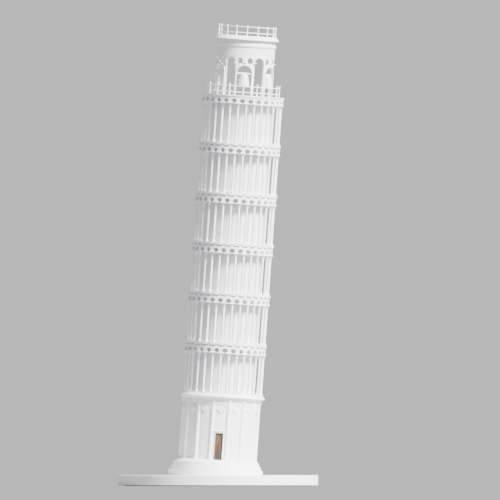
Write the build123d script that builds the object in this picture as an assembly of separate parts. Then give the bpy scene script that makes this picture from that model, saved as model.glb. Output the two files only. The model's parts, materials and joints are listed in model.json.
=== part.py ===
"""Leaning round tower souvenir: stacked tiers on a round display base, with swinging bells.

The tower is drawn upright about its own axis, with height 0 at the top of the base plate,
and is then leaned as a whole. Azimuth 0 is the door side, -Y, and azimuths grow towards +X.
"""
from build123d import *
import os
from math import asin, atan, cos, degrees, pi, radians, sin, tan

# ---- driving dimensions, mm and degrees ----
LEAN = 4.0                     # the tower leans towards +X
AXIS_X = -1.2                  # where the tower's axis meets the base plate's top
PLINTH_SHIFT = 0.7             # the plinth steps' centre stands this far back from the axis there

PLATE_RADIUS = 75.0
FELT_MARGIN = 5.0              # the plate's rim outside the felt
FELT_THICKNESS = 1.5
FELT_PROUD = 0.4               # the felt stands this much below the plate
PLATE_THICKNESS = 7.7
PLATE_EDGE_FILLET = 0.5

STEP_LEDGES = (1.6, 1.4, 2.45)  # each step's foot outside the next one's, the last outside the wedge's rim
STEP_TOPS = (4.1, 6.9, 9.6)
STEP_BATTER = 0.3              # how much narrower each step is at its top
WEDGE_TOP = 11.4
WEDGE_RIM = 0.2                # the wedge's top edge stands this far outside the half columns
WEDGE_FLARE = 1.1              # how far the wedge spreads for each mm down

GROUND_RADIUS = 28.3
GROUND_HEIGHT = 45.1
GROUND_BAYS = 15
HALF_COLUMN_RADIUS = 1.7
HALF_COLUMN_SINK = 0.5         # how far a half column's centre lies inside the wall's face
HALF_COLUMN_SHOULDER = 0.45    # how far its base and capital stand out from the shaft
HALF_COLUMN_BASE_HEIGHT = 1.6
HALF_COLUMN_CAPITAL_HEIGHT = 2.4
BLIND_ARCH_PROUD = 0.5
BLIND_ARCH_SPRING = 7.8        # below the ground drum's top
BLIND_ARCH_CROWN = 2.9         # below the ground drum's top
LOZENGE_HALF = 3.1             # half of a lozenge's diagonal
LOZENGE_DROP = 6.9             # its centre, below the ground drum's top
LOZENGE_PROUD = 0.6

DOOR_WIDTH = 6.1
DOOR_HEIGHT = 20.2
DOOR_THICKNESS = 1.0
DOOR_SET_BACK = 0.5            # the leaf's face behind the frame's face
JAMB_WIDTH = 0.5
JAMB_PROUD = 0.5               # in front of the drum's wall at the door's centre
LINTEL_HEIGHT = 1.4
LINTEL_OVERHANG = 0.15
HOOD_HEIGHT = 1.7
HOOD_PROUD = 0.8

CORNICE_HEIGHT = 5.4
CORNICE_TIP_RISE = 2.4
CORNICE_UNDER_PROUD = 1.4      # its underside's edge outside the ground drum
CORNICE_TIP_PROUD = 2.7        # its pointed edge outside its underside's
CORNICE_TOP_MARGIN = 0.35      # its top's edge outside the column feet

GALLERIES = 6
GALLERY_PITCH = 37.53
GALLERY_DRUM_RADIUS = 23.4
BAYS = 30                      # columns and arches in each gallery
WALK_WIDTH = 5.6               # from a gallery drum to the columns' centres
COLUMN_RADIUS = 0.8
COLUMN_FOOT_RADIUS = 1.4
COLUMN_FOOT_HEIGHT = 1.9
CAPITAL_HEIGHT = 2.1
ARCADE_MARGIN = 0.05           # the arcade's face outside the column feet
ARCADE_THICKNESS = 4.8
ARCADE_HEIGHT = 5.5
ARCH_WIDTH = 4.2
ARCH_MIDDLE = 2.2              # an opening's widest level, above the arcade's bottom
ARCH_FOOT = 0.8                # its lowest point, above the arcade's bottom
LIP_RISE = 0.45                # the foot lip's underside, above the arcade's bottom
LIP_PROUD = 0.5
LIP_HEIGHT = 0.8
FLOOR_THICKNESS = 2.9
TERRACE_THICKNESS = 1.4
BRACKET_WIDTH = 4.0
BRACKET_HEIGHT = 0.8
BRACKET_SHADOW = 1.5           # depth of the pocket under each bracket
FLOOR_LIP_HEIGHT = 1.0

TERRACE_WALK = 8.75            # from the belfry's wall to the terrace's edge
BELFRY_WALL = 2.0
BELFRY_HEIGHT = 35.9
BAY_WIDTH = 11.0
BAY_CROWN = 22.4               # above the terrace
PIER_WIDTH = 1.88              # round the belfry's face, between a bell bay and the slit beside it
SLIT_CROWN = 28.6
ARCHLET_WIDTH = 3.8
ARCHLET_HEIGHT = 4.2
ARCHLET_MIDDLE = 26.1
SURROUND_WIDTH = 1.3
SURROUND_PROUD = 0.6
CORBEL_SIZE = 1.3
CORBEL_PROUD = 0.7
BAND_PROUD = 0.7
BAND_HEIGHT = 4.0
BAND_GROOVE_HEIGHT = 1.5
CAP_UNDER_PROUD = 2.0
CAP_TIP_PROUD = 2.6
CAP_TOP_PROUD = 0.6
CAP_HEIGHT = 3.3
CAP_TIP_RISE = 0.5
CAP_WIDTH = 8.7                # from the belfry's face to the round opening in the middle of the cap

RAIL_POSTS = 16
POST_RADIUS = 0.48
POST_BALL_RADIUS = 0.64
RAIL_RADIUS = 0.34
TERRACE_RAILING_INSET = 3.45   # the posts' centres inside the terrace's edge
TERRACE_RAILING_HEIGHT = 8.8
TOP_RAILING_INSET = 1.15       # the posts' centres inside the cap's top edge
TOP_RAILING_HEIGHT = 7.8
RAIL_LEVELS = (2.3, 6.7)       # above the floor that the posts stand on

BELLS = 6
BELL_MOUTH_GAP = 1.4           # between a bell's mouth and the jamb
BELL_SHOULDER_DROP = 2.9       # the shoulder's level below the pin
BELL_SHOULDER_INSET = 0.95     # how much narrower than the mouth it is there
BELL_WAIST_DROP = 6.0
BELL_WAIST_INSET = 0.3
BELL_HEIGHT = 10.0             # from the pin down to the mouth
BELL_WALL = 0.7
HEADSTOCK_DROP = 0.5           # the pins' centre below the level where a wide arch springs
HEADSTOCK_HEIGHT = 1.4
HEADSTOCK_DEPTH = 1.4
BELL_SIDE_GAP = 0.4            # between a headstock's end and the jamb
BELL_PIN_RADIUS = 0.3
BELL_PIN_CLEARANCE = 0.05
BELL_PIN_SEAT = 1.2            # how deep a pin's end sits in the jamb
BELL_PIN_INSET = 1.8           # the pins' centre inside the belfry's face

ROD_RADIUS = 1.5
ROD_CLEARANCE = 0.2
NUT_ACROSS_FLATS = 5.5
NUT_HEIGHT = 2.4
WASHER_RADIUS = 3.5
WASHER_THICKNESS = 0.5
ROD_END = 0.6                  # thread showing past a nut
SPIGOT_RADIUS = 9.0
SPIGOT_HEIGHT = 1.0
FIT_CLEARANCE = 0.1

# ---- radii and places, worked out from the above ----
PLINTH_X = AXIS_X - PLINTH_SHIFT
FELT_RADIUS = PLATE_RADIUS - FELT_MARGIN
HALF_COLUMN_REACH = GROUND_RADIUS - HALF_COLUMN_SINK
HALF_COLUMN_TIP = HALF_COLUMN_REACH + HALF_COLUMN_RADIUS
WEDGE_RADIUS = HALF_COLUMN_TIP + HALF_COLUMN_SHOULDER + WEDGE_RIM
STEP_RADII = [WEDGE_RADIUS + sum(STEP_LEDGES[number:]) for number in range(len(STEP_LEDGES))]
COLUMN_RING_RADIUS = GALLERY_DRUM_RADIUS + WALK_WIDTH
CORNICE_UNDER_RADIUS = GROUND_RADIUS + CORNICE_UNDER_PROUD
CORNICE_TIP_RADIUS = CORNICE_UNDER_RADIUS + CORNICE_TIP_PROUD
CORNICE_TOP_RADIUS = COLUMN_RING_RADIUS + COLUMN_FOOT_RADIUS + CORNICE_TOP_MARGIN
ARCADE_RADIUS = COLUMN_RING_RADIUS + COLUMN_FOOT_RADIUS + ARCADE_MARGIN
FLOOR_RADIUS = ARCADE_RADIUS
TERRACE_RAILING_RADIUS = FLOOR_RADIUS - TERRACE_RAILING_INSET
BELFRY_RADIUS = FLOOR_RADIUS - TERRACE_WALK
BAND_RADIUS = BELFRY_RADIUS + BAND_PROUD
CAP_UNDER_RADIUS = BELFRY_RADIUS + CAP_UNDER_PROUD
CAP_TIP_RADIUS = BELFRY_RADIUS + CAP_TIP_PROUD
CAP_TOP_RADIUS = BELFRY_RADIUS + CAP_TOP_PROUD
WELL_RADIUS = BELFRY_RADIUS - CAP_WIDTH
TOP_RAILING_RADIUS = CAP_TOP_RADIUS - TOP_RAILING_INSET
ARCHLET_AZIMUTH = 180 / BELLS / 3
SLIT_HALF_TURN = pi / BELLS - asin(BAY_WIDTH / 2 / BELFRY_RADIUS) - PIER_WIDTH / BELFRY_RADIUS
SLIT_WIDTH = 2 * BELFRY_RADIUS * sin(SLIT_HALF_TURN)
BELL_RADIUS = BAY_WIDTH / 2 - BELL_MOUTH_GAP
BELL_RING_RADIUS = BELFRY_RADIUS - BELL_PIN_INSET
ROD_FIT_RADIUS = ROD_RADIUS + ROD_CLEARANCE
NUT_CORNER_RADIUS = NUT_ACROSS_FLATS / 2 / cos(pi / 6)
NUT_POCKET_RADIUS = WASHER_RADIUS + 3 * FIT_CLEARANCE

# ---- levels along the tower's axis, worked out from the above ----
PLATE_TOP = FELT_PROUD + PLATE_THICKNESS
GROUND_TOP = WEDGE_TOP + GROUND_HEIGHT
FIRST_FLOOR = GROUND_TOP + CORNICE_HEIGHT
FLOOR_RISE = ARCADE_HEIGHT + FLOOR_THICKNESS
COLUMN_HEIGHT = GALLERY_PITCH - FLOOR_RISE
TERRACE = FIRST_FLOOR + GALLERIES * GALLERY_PITCH - FLOOR_THICKNESS + TERRACE_THICKNESS
BELFRY_TOP = TERRACE + BELFRY_HEIGHT
BAND_TOP = BELFRY_TOP + BAND_HEIGHT + BAND_GROOVE_HEIGHT
CAP_TOP = BAND_TOP + CAP_HEIGHT
BELL_PIN_LEVEL = TERRACE + BAY_CROWN - BAY_WIDTH / 2 - HEADSTOCK_DROP
CLAMP_STACK = WASHER_THICKNESS + NUT_HEIGHT + ROD_END
FOOT_WASHER_TOP = -2.3         # the lower washer's seat, inside the base plate
HEAD_POCKET = CLAMP_STACK + 0.4
HEAD_SEAT = TERRACE - TERRACE_THICKNESS - HEAD_POCKET

tower_place = Pos(AXIS_X, 0, PLATE_TOP) * Rot(0, LEAN, 0)
plinth_place = Pos(PLINTH_X, 0, PLATE_TOP) * Rot(0, LEAN / 2, 0)


# ---- helpers ----
def disc(radius, low, high):
    """A round disc about the axis between two levels."""
    return Pos(0, 0, low) * Cylinder(radius, high - low, align=(Align.CENTER, Align.CENTER, Align.MIN))


def ring(outer, inner, low, high):
    """A flat ring about the axis between two levels."""
    return disc(outer, low, high) - disc(inner, low, high)


def turned(outline):
    """A solid turned about the axis from (radius, level) points."""
    points = [(radius, 0, level) for radius, level in outline]
    return revolve(make_face(Polyline(*points, close=True)), Axis.Z)


def around(piece, azimuths):
    """Copies of a piece made at the door side, turned to each azimuth."""
    return [Rot(0, 0, azimuth) * piece for azimuth in azimuths]


def spread(count, first=0.0):
    """Azimuths of evenly spread copies."""
    return [first + 360 * number / count for number in range(count)]


def block(width, depth, height, radius, low):
    """A block on the door side: its outer face at a radius, its bottom at a level."""
    align = (Align.CENTER, Align.MIN, Align.MIN)
    return Pos(0, -radius, low) * Box(width, depth, height, align=align)


def arch(width, low, crown, inner, outer):
    """An arched plug on the door side, between two radii, with a half-round head."""
    spring = crown - width / 2
    leg = block(width, outer - inner, spring - low, outer, low)
    head = Rot(90, 0, 0) * Cylinder(width / 2, outer - inner, align=(Align.CENTER, Align.CENTER, Align.MIN))
    return leg + Pos(0, -inner, spring) * head


def bent_to_wall(piece, radius):
    """The part of a piece that lies outside a round wall."""
    box = piece.bounding_box()
    return piece - disc(radius, box.min.Z - 1, box.max.Z + 1)


def save(node, shapes, place=tower_place):
    """Write one node: a single solid, or a group of separate solids."""
    shapes = shapes if isinstance(shapes, list) else [shapes]
    solids = [solid for shape in shapes for solid in (place * shape).solids()]
    export_step(solids[0] if len(solids) == 1 else Compound(children=solids), f"parts/{node}.step")


# ---- base ----
def base_plate():
    """Round display plate with a recess for the felt and a slanted hole for the tie rod."""
    low = FELT_PROUD
    plate = disc(PLATE_RADIUS, low, PLATE_TOP)
    plate = fillet(plate.edges().filter_by(GeomType.CIRCLE), PLATE_EDGE_FILLET)
    plate -= disc(FELT_RADIUS + FIT_CLEARANCE, low, FELT_THICKNESS)
    plate -= tower_place * disc(ROD_FIT_RADIUS, -2 * PLATE_THICKNESS, PLATE_THICKNESS)
    return plate - tower_place * disc(NUT_POCKET_RADIUS, -2 * PLATE_THICKNESS, FOOT_WASHER_TOP)


def plinth_step(number):
    """One round step, tilted by half of the lean; the lowest is cut flat on the plate."""
    low = STEP_TOPS[number - 1] if number else 0
    top = STEP_TOPS[number]
    wide = STEP_RADII[number]
    step = plinth_place * turned([(0, low), (wide, low), (wide - STEP_BATTER, top), (0, top)])
    if number == 0:
        step += plinth_place * disc(wide, -PLATE_THICKNESS, low)
        step -= disc(2 * wide, PLATE_TOP - 2 * PLATE_THICKNESS, PLATE_TOP)
    return step - tower_place * disc(ROD_FIT_RADIUS, -PLATE_THICKNESS, WEDGE_TOP)


def lean_wedge():
    """Sloping skirt that takes up the rest of the lean, deepest on the side away from it."""
    rim = WEDGE_RADIUS
    top = WEDGE_TOP
    depth = top - STEP_TOPS[1]
    skirt = turned([(0, top - depth), (rim + WEDGE_FLARE * depth, top - depth), (rim, top), (0, top)])
    step_solid = plinth_place.inverse() * tower_place * skirt
    step_solid -= disc(2 * rim, STEP_TOPS[2] - 2 * depth, STEP_TOPS[2])
    step_solid &= disc(STEP_RADII[2] - STEP_BATTER - FIT_CLEARANCE, STEP_TOPS[2], STEP_TOPS[2] + 2 * depth)
    wedge = plinth_place * step_solid
    wedge += tower_place * disc(SPIGOT_RADIUS, top - FIT_CLEARANCE, top + SPIGOT_HEIGHT)
    return wedge - tower_place * disc(ROD_FIT_RADIUS, 0, top + 2 * SPIGOT_HEIGHT)


# ---- ground storey ----
def door_pocket():
    """The doorway's cut in the ground drum, which the frame lines."""
    width = DOOR_WIDTH + 2 * JAMB_WIDTH
    depth = JAMB_PROUD + DOOR_SET_BACK + DOOR_THICKNESS
    return block(width, depth, DOOR_HEIGHT, GROUND_RADIUS + JAMB_PROUD, WEDGE_TOP)


def ground_drum():
    """Solid ground storey with the doorway's pocket and the spigot's seat."""
    drum = disc(GROUND_RADIUS, WEDGE_TOP, GROUND_TOP) - door_pocket()
    drum -= disc(SPIGOT_RADIUS + FIT_CLEARANCE, WEDGE_TOP, WEDGE_TOP + SPIGOT_HEIGHT + FIT_CLEARANCE)
    return drum - disc(ROD_FIT_RADIUS, WEDGE_TOP, GROUND_TOP)


def half_column():
    """One engaged column against the ground drum, with its base and capital."""
    shaft = HALF_COLUMN_RADIUS
    wide = shaft + HALF_COLUMN_SHOULDER
    base = WEDGE_TOP + HALF_COLUMN_BASE_HEIGHT
    neck = GROUND_TOP - HALF_COLUMN_CAPITAL_HEIGHT
    outline = [(0, WEDGE_TOP), (wide, WEDGE_TOP), (wide, (WEDGE_TOP + base) / 2), (shaft, base),
               (shaft, neck), (wide, (neck + GROUND_TOP) / 2), (wide, GROUND_TOP), (0, GROUND_TOP)]
    return bent_to_wall(Pos(0, -HALF_COLUMN_REACH, 0) * turned(outline), GROUND_RADIUS)


def blind_arcade(columns):
    """Thin band round the top of the drum with a round-headed notch in each bay."""
    low = GROUND_TOP - BLIND_ARCH_SPRING
    bay = 2 * pi * GROUND_RADIUS / GROUND_BAYS - 2 * HALF_COLUMN_RADIUS
    outer = GROUND_RADIUS + BLIND_ARCH_PROUD
    band = ring(outer, GROUND_RADIUS, low, GROUND_TOP)
    width = bay - 2 * HALF_COLUMN_SHOULDER
    notch = arch(width, low - 1, GROUND_TOP - BLIND_ARCH_CROWN, GROUND_RADIUS - 2, outer + 1)
    return band - around(notch, spread(GROUND_BAYS)) - columns


def lozenge():
    """One raised lozenge in the head of a bay."""
    side = LOZENGE_HALF * 2 ** 0.5
    depth = 2 * LOZENGE_PROUD
    plate = Rot(0, 45, 0) * Box(side, depth, side)
    place = Pos(0, -GROUND_RADIUS, GROUND_TOP - LOZENGE_DROP)
    return bent_to_wall(place * plate, GROUND_RADIUS)


def door_frame():
    """The two jambs of the doorway."""
    radius = GROUND_RADIUS + JAMB_PROUD
    depth = JAMB_PROUD + DOOR_SET_BACK + DOOR_THICKNESS
    jamb = block(JAMB_WIDTH, depth, DOOR_HEIGHT, radius, WEDGE_TOP)
    offset = (DOOR_WIDTH + JAMB_WIDTH) / 2
    return [Pos(side * offset, 0, 0) * jamb for side in (-1, 1)]


def door_leaf():
    """The plain wooden leaf between the jambs."""
    return block(DOOR_WIDTH, DOOR_THICKNESS, DOOR_HEIGHT, GROUND_RADIUS - DOOR_SET_BACK, WEDGE_TOP)


def door_lintel():
    """Flat lintel over the jambs."""
    width = DOOR_WIDTH + 2 * (JAMB_WIDTH + LINTEL_OVERHANG)
    radius = GROUND_RADIUS + JAMB_PROUD
    lintel = block(width, radius / 4, LINTEL_HEIGHT, radius, WEDGE_TOP + DOOR_HEIGHT)
    return bent_to_wall(lintel, GROUND_RADIUS)


def door_hood():
    """Small sloping hood over the lintel."""
    low = WEDGE_TOP + DOOR_HEIGHT + LINTEL_HEIGHT
    width = DOOR_WIDTH + 2 * (JAMB_WIDTH + LINTEL_OVERHANG)
    front = GROUND_RADIUS + JAMB_PROUD + HOOD_PROUD
    side = [(-front, low), (-front, low + HOOD_HEIGHT / 4), (1 - GROUND_RADIUS, low + HOOD_HEIGHT),
            (1 - GROUND_RADIUS, low)]
    face = make_face(Polyline(*[(0, y, z) for y, z in side], close=True))
    return bent_to_wall(extrude(face, width / 2, dir=(1, 0, 0), both=True), GROUND_RADIUS)


def ground_cornice():
    """Moulded cornice that closes the ground storey and floors the first gallery."""
    low = GROUND_TOP
    top = FIRST_FLOOR
    cornice = turned([(0, low), (CORNICE_UNDER_RADIUS, low), (CORNICE_TIP_RADIUS, low + CORNICE_TIP_RISE),
                      (CORNICE_TOP_RADIUS, top), (0, top)])
    return spigotted(cornice, top, low)


def spigotted(floor, top, low):
    """A floor with a spigot for the drum above and the tie rod's hole."""
    floor += disc(SPIGOT_RADIUS, top - FIT_CLEARANCE, top + SPIGOT_HEIGHT)
    return floor - disc(ROD_FIT_RADIUS, low, top + SPIGOT_HEIGHT)


# ---- galleries ----
def gallery_drum(low, pocket):
    """Solid core of one gallery; the highest has a pocket for the upper nut."""
    high = low + COLUMN_HEIGHT + ARCADE_HEIGHT
    drum = disc(GALLERY_DRUM_RADIUS, low, high)
    drum -= disc(SPIGOT_RADIUS + FIT_CLEARANCE, low, low + SPIGOT_HEIGHT + FIT_CLEARANCE)
    drum -= disc(ROD_FIT_RADIUS, low, high)
    if pocket:
        drum -= disc(NUT_POCKET_RADIUS, HEAD_SEAT, high)
    return drum


def gallery_column(low):
    """One free-standing column with a moulded foot and a flared capital."""
    high = low + COLUMN_HEIGHT
    foot = COLUMN_FOOT_RADIUS
    shaft = COLUMN_RADIUS
    outline = [(0, low), (foot, low), (foot, low + COLUMN_FOOT_HEIGHT / 2), (shaft, low + COLUMN_FOOT_HEIGHT),
               (shaft, high - CAPITAL_HEIGHT), (foot, high - CAPITAL_HEIGHT / 4), (foot, high), (0, high)]
    return Pos(0, -COLUMN_RING_RADIUS, 0) * turned(outline)


def arch_opening(low):
    """One opening of the arcade: a round head over a shallow rounded foot."""
    middle = low + ARCH_MIDDLE
    half = ARCH_WIDTH / 2
    outer = ARCADE_RADIUS + LIP_PROUD + 1
    inner = ARCADE_RADIUS - ARCADE_THICKNESS - 1
    left = Vector(-half, -outer, middle)
    right = Vector(half, -outer, middle)
    head = ThreePointArc(left, Vector(0, -outer, middle + half), right)
    foot = ThreePointArc(right, Vector(0, -outer, low + ARCH_FOOT), left)
    return extrude(make_face([head, foot]), outer - inner, dir=(0, 1, 0))


def gallery_arcade(low):
    """Ring of arches that stands on one gallery's capitals, with a lip at its foot."""
    high = low + ARCADE_HEIGHT
    inner = ARCADE_RADIUS - ARCADE_THICKNESS
    band = ring(ARCADE_RADIUS, inner, low, high)
    lip_low = low + LIP_RISE
    band += ring(ARCADE_RADIUS + LIP_PROUD, inner, lip_low, lip_low + LIP_HEIGHT)
    return band - around(arch_opening(low), spread(BAYS))


def gallery_floor(low, thickness, spigot):
    """Round floor slab with an edge lip and a bracket under it over each column."""
    top = low + thickness
    outer = FLOOR_RADIUS + LIP_PROUD
    slab = disc(FLOOR_RADIUS, low, top) + disc(outer, top - FLOOR_LIP_HEIGHT, top)
    room = thickness - FLOOR_LIP_HEIGHT
    height = min(BRACKET_HEIGHT, room / 2)
    depth = outer - FLOOR_RADIUS + BRACKET_SHADOW
    bracket = block(BRACKET_WIDTH, depth, height, outer, top - FLOOR_LIP_HEIGHT - height)
    bracket &= disc(outer, low, top)
    pocket = block(BRACKET_WIDTH, depth, room - height, outer, low)
    azimuths = spread(BAYS, 180 / BAYS)
    slab = slab + around(bracket, azimuths) - around(pocket, azimuths)
    if spigot:
        return spigotted(slab, top, low)
    return slab


# ---- belfry ----
def belfry_drum():
    """Round belfry wall with wide bell bays, tall slits and a row of small arches."""
    wall = ring(BELFRY_RADIUS, BELFRY_RADIUS - BELFRY_WALL, TERRACE, BELFRY_TOP)
    inner = BELFRY_RADIUS - 2 * BELFRY_WALL
    outer = BELFRY_RADIUS + BELFRY_WALL
    half = ARCHLET_HEIGHT / 2
    archlet = arch(ARCHLET_WIDTH, ARCHLET_MIDDLE - half, ARCHLET_MIDDLE + half, inner, outer)
    archlets = [azimuth + side * ARCHLET_AZIMUTH for azimuth in spread(BELLS) for side in (-1, 1)]
    cuts = around(arch(BAY_WIDTH, -1, BAY_CROWN, inner, outer), spread(BELLS))
    cuts += around(arch(SLIT_WIDTH, -1, SLIT_CROWN, inner, outer), spread(BELLS, 180 / BELLS))
    cuts += around(archlet, archlets)
    return wall - [Pos(0, 0, TERRACE) * cut for cut in cuts] - bell_pins()


def bay_surround():
    """Raised moulding round one bell bay, bent to the wall and stopped at the slits beside it."""
    outer = BELFRY_RADIUS + SURROUND_PROUD
    inner = BELFRY_RADIUS - BELFRY_WALL / 2
    wide = BAY_WIDTH + 2 * SURROUND_WIDTH
    moulding = arch(wide, 0, BAY_CROWN + SURROUND_WIDTH, inner, outer + 1)
    moulding -= arch(BAY_WIDTH, -1, BAY_CROWN, inner - 1, outer + 2)
    moulding &= disc(outer, -1, BAY_CROWN + 2 * SURROUND_WIDTH)
    moulding -= around(arch(SLIT_WIDTH, -1, SLIT_CROWN, inner - 1, outer + 2), (-180 / BELLS, 180 / BELLS))
    return Pos(0, 0, TERRACE) * bent_to_wall(moulding, BELFRY_RADIUS)


def belfry_corbel():
    """One small corbel between two of the small arches, level with the tops of the bay surrounds."""
    low = TERRACE + BAY_CROWN + SURROUND_WIDTH
    top = low + CORBEL_SIZE
    proud = CORBEL_PROUD + SURROUND_PROUD
    face = make_face(Polyline((0, -BELFRY_RADIUS + 1, low), (0, -BELFRY_RADIUS, low),
                              (0, -BELFRY_RADIUS - proud, (low + top) / 2), (0, -BELFRY_RADIUS - proud, top),
                              (0, -BELFRY_RADIUS + 1, top), close=True))
    return bent_to_wall(extrude(face, CORBEL_SIZE / 2, dir=(1, 0, 0), both=True), BELFRY_RADIUS)


def belfry_band():
    """String course round the top of the belfry, with a neck above it."""
    low = BELFRY_TOP
    inner = BELFRY_RADIUS - BELFRY_WALL
    neck = low + BAND_HEIGHT
    return ring(BAND_RADIUS, inner, low, neck) + ring(BELFRY_RADIUS, inner, neck, BAND_TOP)


def belfry_cap():
    """Sloping-edged top slab, open in the middle."""
    low = BAND_TOP
    return turned([(WELL_RADIUS, low), (CAP_UNDER_RADIUS, low), (CAP_TIP_RADIUS, low + CAP_TIP_RISE),
                   (CAP_TOP_RADIUS, CAP_TOP), (WELL_RADIUS, CAP_TOP)])


def railing(radius, low, height):
    """Posts with ball tops, and two rows of straight rails from post to post."""
    ball_level = height - POST_BALL_RADIUS
    post = Cylinder(POST_RADIUS, ball_level, align=(Align.CENTER, Align.CENTER, Align.MIN))
    post = Pos(0, -radius, low) * (post + Pos(0, 0, ball_level) * Sphere(POST_BALL_RADIUS))
    half_step = 180 / RAIL_POSTS
    neighbours = around(post, (-half_step, half_step))
    bar = Rot(0, 90, 0) * Cylinder(RAIL_RADIUS, 2 * radius * sin(radians(half_step)))
    reach = -radius * cos(radians(half_step))
    bars = [Pos(0, reach, low + level) * bar - neighbours for level in RAIL_LEVELS]
    rails = [copy for piece in bars for copy in around(piece, spread(RAIL_POSTS, half_step))]
    return around(post, spread(RAIL_POSTS)) + rails


# ---- bells ----
def bell_pins():
    """Steel pins across the bell bays, each end seated in a jamb."""
    length = BAY_WIDTH + 2 * BELL_PIN_SEAT
    pin = Rot(0, 90, 0) * Cylinder(BELL_PIN_RADIUS, length)
    return around(Pos(0, -BELL_RING_RADIUS, BELL_PIN_LEVEL) * pin, spread(BELLS))


def bell():
    """One bell cast with its headstock, bored for its pin, hung at the pin's centre."""
    length = BAY_WIDTH - 2 * BELL_SIDE_GAP
    headstock = Box(length, HEADSTOCK_DEPTH, HEADSTOCK_HEIGHT)
    crown = HEADSTOCK_HEIGHT / 2
    wall = BELL_WALL
    outside = [(crown, crown), (BELL_RADIUS - BELL_SHOULDER_INSET, -BELL_SHOULDER_DROP),
               (BELL_RADIUS - BELL_WAIST_INSET, -BELL_WAIST_DROP), (BELL_RADIUS, -BELL_HEIGHT)]
    inside = [(radius - wall, level) for radius, level in outside[:0:-1]]
    body = turned([(0, crown), *outside, *inside, (0, wall - BELL_SHOULDER_DROP)])
    bore = Rot(0, 90, 0) * Cylinder(BELL_PIN_RADIUS + BELL_PIN_CLEARANCE, 2 * length)
    return headstock + body - bore


def hang_angle(azimuth):
    """How far a bell must swing out on its pin to hang plumb in the leaning tower."""
    return degrees(atan(tan(radians(LEAN)) * sin(radians(azimuth))))


def hung_bell(azimuth):
    """A bell in its bay, hanging plumb."""
    plumb = Rot(-hang_angle(azimuth), 0, 0) * bell()
    return Rot(0, 0, azimuth) * Pos(0, -BELL_RING_RADIUS, BELL_PIN_LEVEL) * plumb


# ---- tie rod ----
def tie_rod():
    """Steel rod that clamps the stack together, from the plate to the highest drum."""
    low = FOOT_WASHER_TOP - CLAMP_STACK
    return disc(ROD_RADIUS, low, HEAD_SEAT + CLAMP_STACK)


def clamp_washer(seat, side):
    """A washer on its seat; side is 1 above the seat and -1 below it."""
    ends = sorted((seat, seat + side * WASHER_THICKNESS))
    return ring(WASHER_RADIUS, ROD_RADIUS, *ends)


def clamp_nut(seat, side):
    """A hexagon nut next to its washer."""
    near = seat + side * WASHER_THICKNESS
    low = min(near, near + side * NUT_HEIGHT)
    hexagon = extrude(RegularPolygon(NUT_CORNER_RADIUS, 6), NUT_HEIGHT)
    return Pos(0, 0, low) * hexagon - disc(ROD_RADIUS, low, low + NUT_HEIGHT)


def main():
    os.makedirs("parts", exist_ok=True)
    save("felt_pad", disc(FELT_RADIUS, 0, FELT_THICKNESS), Pos())
    save("base_plate", base_plate(), Pos())
    for number, name in enumerate(("lower", "middle", "upper")):
        save(f"plinth_step_{name}", plinth_step(number), Pos())
    save("lean_wedge", lean_wedge(), Pos())

    columns = around(half_column(), spread(GROUND_BAYS, 180 / GROUND_BAYS))
    save("ground_drum", ground_drum())
    save("ground_half_columns", columns)
    save("ground_blind_arcade", blind_arcade(columns))
    save("ground_lozenges", around(lozenge(), spread(GROUND_BAYS)))
    save("door_frame", door_frame())
    save("door_lintel", door_lintel())
    save("door_hood", door_hood())
    save("door_leaf", door_leaf())
    save("ground_cornice", ground_cornice())

    for number in range(GALLERIES):
        low = FIRST_FLOOR + number * GALLERY_PITCH
        last = number == GALLERIES - 1
        name = f"gallery_{number + 1}"
        capital_top = low + COLUMN_HEIGHT
        floor = capital_top + ARCADE_HEIGHT
        save(f"{name}_drum", gallery_drum(low, last))
        save(f"{name}_columns", around(gallery_column(low), spread(BAYS, 180 / BAYS)))
        save(f"{name}_arcade", gallery_arcade(capital_top))
        if last:
            save("terrace_floor", gallery_floor(floor, TERRACE_THICKNESS, False))
        else:
            save(f"{name}_floor", gallery_floor(floor, FLOOR_THICKNESS, True))

    save("terrace_railing", railing(TERRACE_RAILING_RADIUS, TERRACE, TERRACE_RAILING_HEIGHT))
    save("belfry_drum", belfry_drum())
    save("belfry_bay_surrounds", around(bay_surround(), spread(BELLS)))
    save("belfry_corbels", around(belfry_corbel(), spread(3 * BELLS)))
    save("belfry_band", belfry_band())
    save("belfry_cap", belfry_cap())
    save("top_railing", railing(TOP_RAILING_RADIUS, CAP_TOP, TOP_RAILING_HEIGHT))
    save("bell_pins", bell_pins())
    for number, azimuth in enumerate(spread(BELLS)):
        save(f"bell_{number + 1}", hung_bell(azimuth))

    save("tie_rod", tie_rod())
    save("tie_rod_washers", [clamp_washer(FOOT_WASHER_TOP, -1), clamp_washer(HEAD_SEAT, 1)])
    save("tie_rod_nuts", [clamp_nut(FOOT_WASHER_TOP, -1), clamp_nut(HEAD_SEAT, 1)])


main()
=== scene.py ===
"""Looks for the leaning round tower souvenir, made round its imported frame."""
import json
from math import cos, pi, radians, sin

import bmesh
import bpy
from bpy.props import FloatProperty, FloatVectorProperty, IntProperty, PointerProperty
from bpy.types import Operator, Panel, PropertyGroup
from mathutils import Matrix, Vector

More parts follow.
